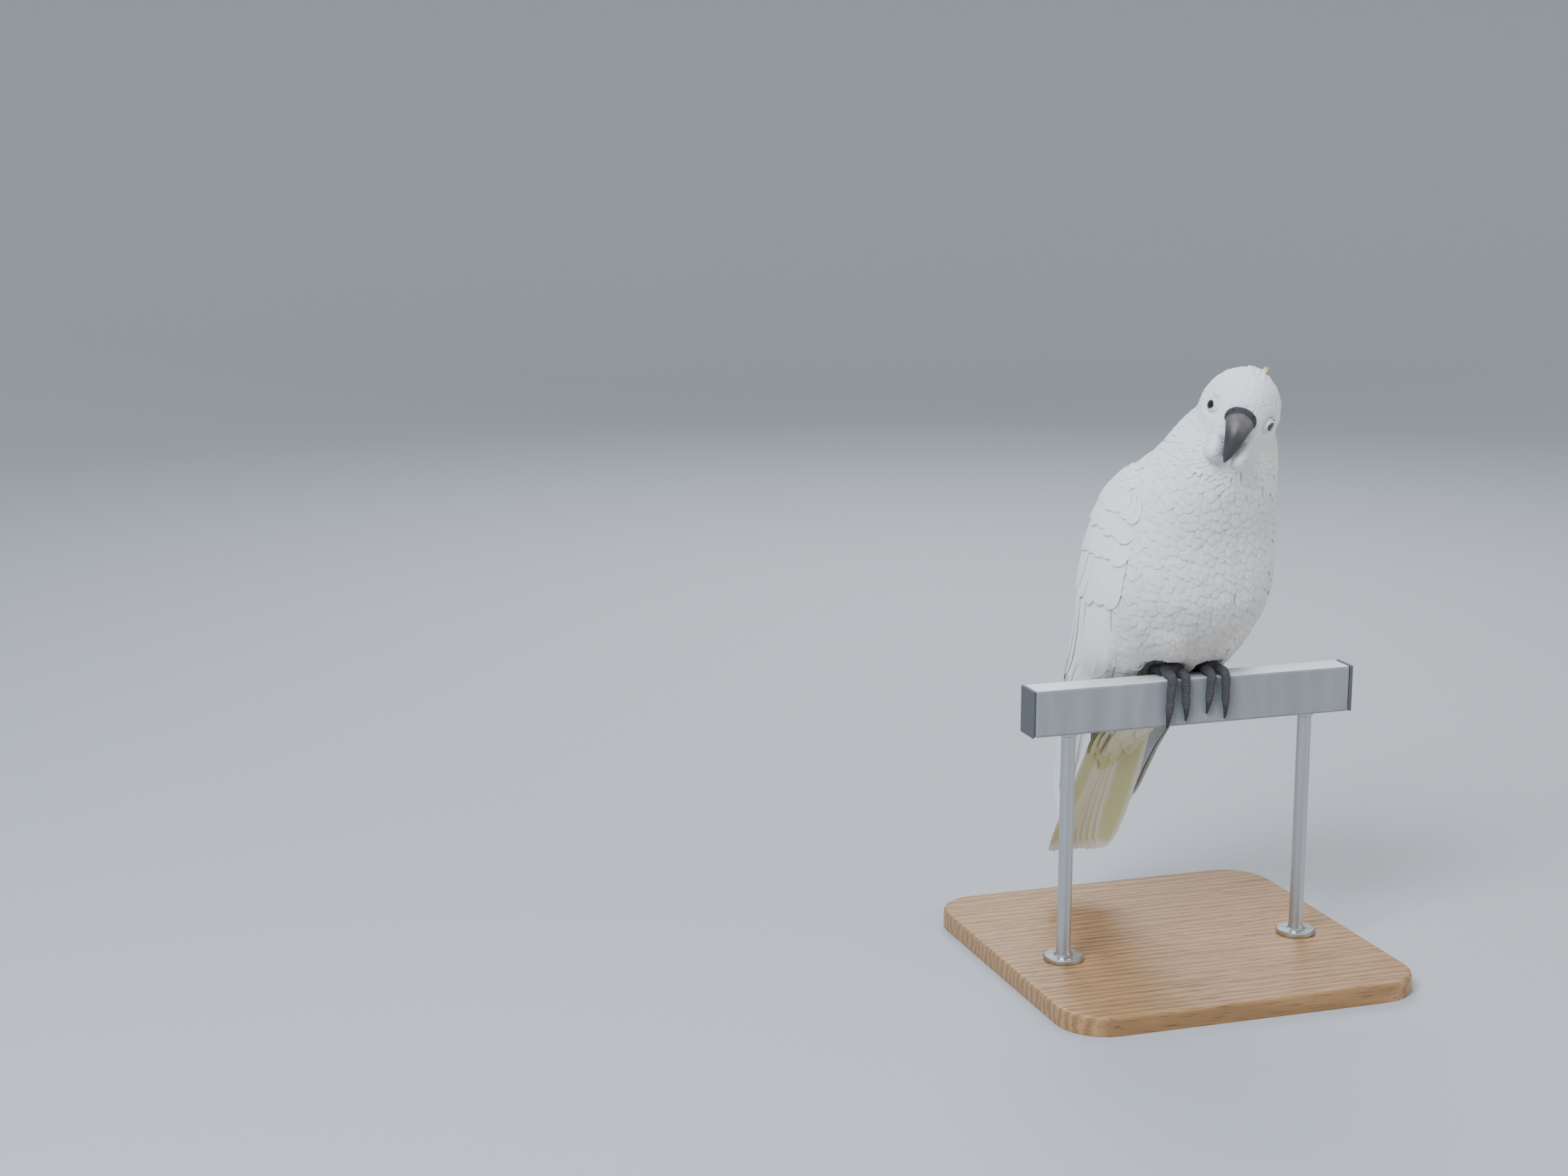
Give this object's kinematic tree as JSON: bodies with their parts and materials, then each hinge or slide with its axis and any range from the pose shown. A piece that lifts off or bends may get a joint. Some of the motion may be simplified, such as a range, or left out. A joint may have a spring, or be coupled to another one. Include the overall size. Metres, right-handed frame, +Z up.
{
  "type": "perched cockatoo model",
  "caption": "Life-size white cockatoo perched on a cut length of rail, wings folded, head turned, tail hanging behind, on a flat display stand with rods.",
  "frame": {"origin": "centre of the underside of the stand's base", "axes": "+Z up; +X along the rail, towards the bird's left; the bird faces -Y with its head turned to its right"},
  "size_m": [0.32, 0.32, 0.5261],
  "materials": {
    "plumage": null,
    "tail": null,
    "crest": null,
    "bill": null,
    "eye": null,
    "foot_skin": null,
    "claw": null,
    "rail": "grey powder-coated aluminium",
    "rail_cap": "moulded end cap",
    "stand_wood": "oiled oak",
    "stand_rod": "satin steel"
  },
  "bodies": {
    "root": {"claw_1_left": "claw", "claw_1_right": "claw", "claw_2_left": "claw", "claw_2_right": "claw", "claw_3_left": "claw", "claw_3_right": "claw", "claw_4_left": "claw", "claw_4_right": "claw", "crest_plume_1": "crest", "crest_plume_2": "crest", "crest_plume_3": "crest", "crest_plume_4": "crest", "crest_plume_5": "crest", "eye_left": "eye", "eye_right": "eye", "head": "plumage", "lower_bill": "bill", "neck": "plumage", "perch_cap_left": "rail_cap", "perch_cap_right": "rail_cap", "perch_rail": "rail", "stand_base": "stand_wood", "stand_rod_left": "stand_rod", "stand_rod_right": "stand_rod", "tail": "tail", "tarsus_left": "foot_skin", "tarsus_right": "foot_skin", "thigh_left": "plumage", "thigh_right": "plumage", "toe_1_left": "foot_skin", "toe_1_right": "foot_skin", "toe_2_left": "foot_skin", "toe_2_right": "foot_skin", "toe_3_left": "foot_skin", "toe_3_right": "foot_skin", "toe_4_left": "foot_skin", "toe_4_right": "foot_skin", "trunk": "plumage", "upper_bill": "bill", "wing_left": "plumage", "wing_right": "plumage"}
  },
  "joints": []
}
